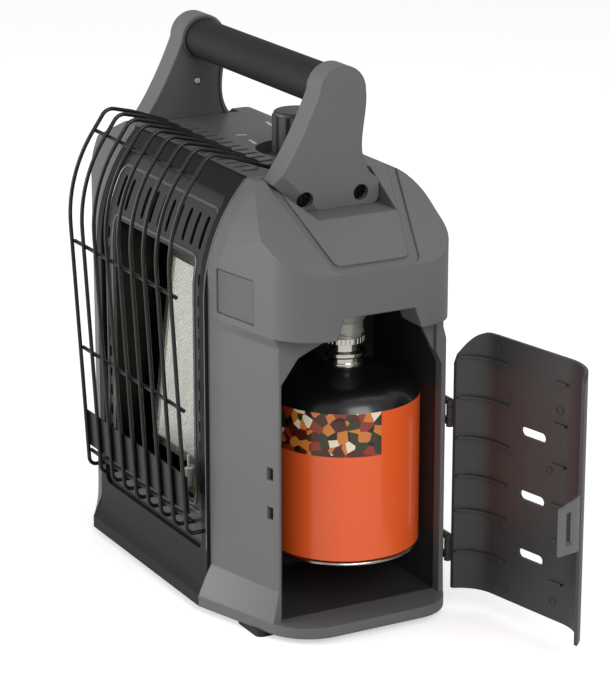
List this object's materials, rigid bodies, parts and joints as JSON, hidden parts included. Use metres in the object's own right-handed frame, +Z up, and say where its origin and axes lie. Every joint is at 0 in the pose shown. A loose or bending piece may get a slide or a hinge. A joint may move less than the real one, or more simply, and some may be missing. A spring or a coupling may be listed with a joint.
{
  "type": "portable gas heater",
  "caption": "Carryable radiant gas heater with a wire guard, top control knob, cylindrical carrying grip and a hinged side door over the bay of a screw-on gas cartridge.",
  "frame": {"origin": "on the floor, in the middle of the sole of the front foot on the cartridge side", "axes": "+X to the cartridge side, -Y out of the radiant front, +Z up"},
  "size_m": [0.4522, 0.2165, 0.3955],
  "materials": {
    "housing_plastic": "fine grain, mid grey",
    "cover_plastic": "fine grain, dark grey",
    "liner_plastic": "dark moulded",
    "door_plastic": "moulded inner face",
    "latch_plastic": "moulded",
    "coated_steel": "satin coat",
    "guard_wire": "black coated wire",
    "grip_foam": "soft black sleeve",
    "foot_rubber": "black",
    "stainless": "heat-resisting sheet",
    "polished_sheet": "polished",
    "ceramic_tile": "perforated white ceramic",
    "tin_label": "printed orange and black band",
    "tin_bare": "tin plate",
    "brass": "turned",
    "die_cast": "black coated die casting",
    "pipe_metal": "drawn tube",
    "screw_steel": "dark plated",
    "knob_plastic": "moulded",
    "igniter_plastic": "moulded"
  },
  "bodies": {
    "chassis": {"gas_housing": "housing_plastic", "control_side_housing": "housing_plastic", "front_cover": "cover_plastic", "front_frame": "coated_steel", "top_panel": "housing_plastic", "knob_well": "housing_plastic", "rear_panel": "housing_plastic", "base_pan": "liner_plastic", "feet": "foot_rubber", "arm_gas": "housing_plastic", "arm_control": "housing_plastic", "arm_cover_gas": "cover_plastic", "arm_cover_control": "cover_plastic", "grip": "grip_foam", "grip_rod": "stainless", "arm_screws": "screw_steel", "arm_cover_screws": "tin_bare", "bay_liner": "liner_plastic", "regulator_nut": "die_cast", "regulator_body": "die_cast", "gas_valve": "brass", "gas_pipe": "pipe_metal", "gas_jet": "brass", "ceramic_plaque": "ceramic_tile", "plaque_frame": "stainless", "burner_plenum": "stainless", "venturi_tube": "pipe_metal", "reflector_box": "stainless", "reflector_hood": "polished_sheet", "sensor_bracket": "stainless", "thermocouple": "brass", "spark_electrode": "ceramic_tile", "piezo_igniter": "igniter_plastic", "tilt_switch": "igniter_plastic", "guard_wires": "guard_wire", "guard_cross_wires": "guard_wire", "guard_band": "guard_wire", "hinge_brackets": "cover_plastic", "hinge_pins": "screw_steel"},
    "door": {"door_panel": "door_plastic", "door_latch": "latch_plastic", "door_knuckles": "cover_plastic"},
    "cartridge": {"cartridge_shell": "tin_label", "cartridge_rim": "tin_bare", "cartridge_valve": "die_cast"},
    "stem": {"knob_stem": "brass"},
    "control_knob": {"knob": "knob_plastic"}
  },
  "joints": [
    {"name": "door_hinge", "type": "hinge", "parent": "chassis", "child": "door", "pos_m": [0.0329, 0.138, 0.098], "axis": [0, 0, 1], "range_deg": [-101, 15]},
    {"name": "cartridge_lower", "type": "slide", "parent": "chassis", "child": "cartridge", "axis": [0, 0, 1], "range_m": [-0.03, 0]},
    {"name": "knob_press", "type": "slide", "parent": "chassis", "child": "stem", "axis": [0, 0, 1], "range_m": [-0.005, 0], "stiffness_N_per_m": 300, "springref_m": 0.003},
    {"name": "knob_turn", "type": "hinge", "parent": "stem", "child": "control_knob", "pos_m": [-0.106, 0.09, 0.33], "axis": [0, 0, 1], "range_deg": [0, 180]}
  ]
}
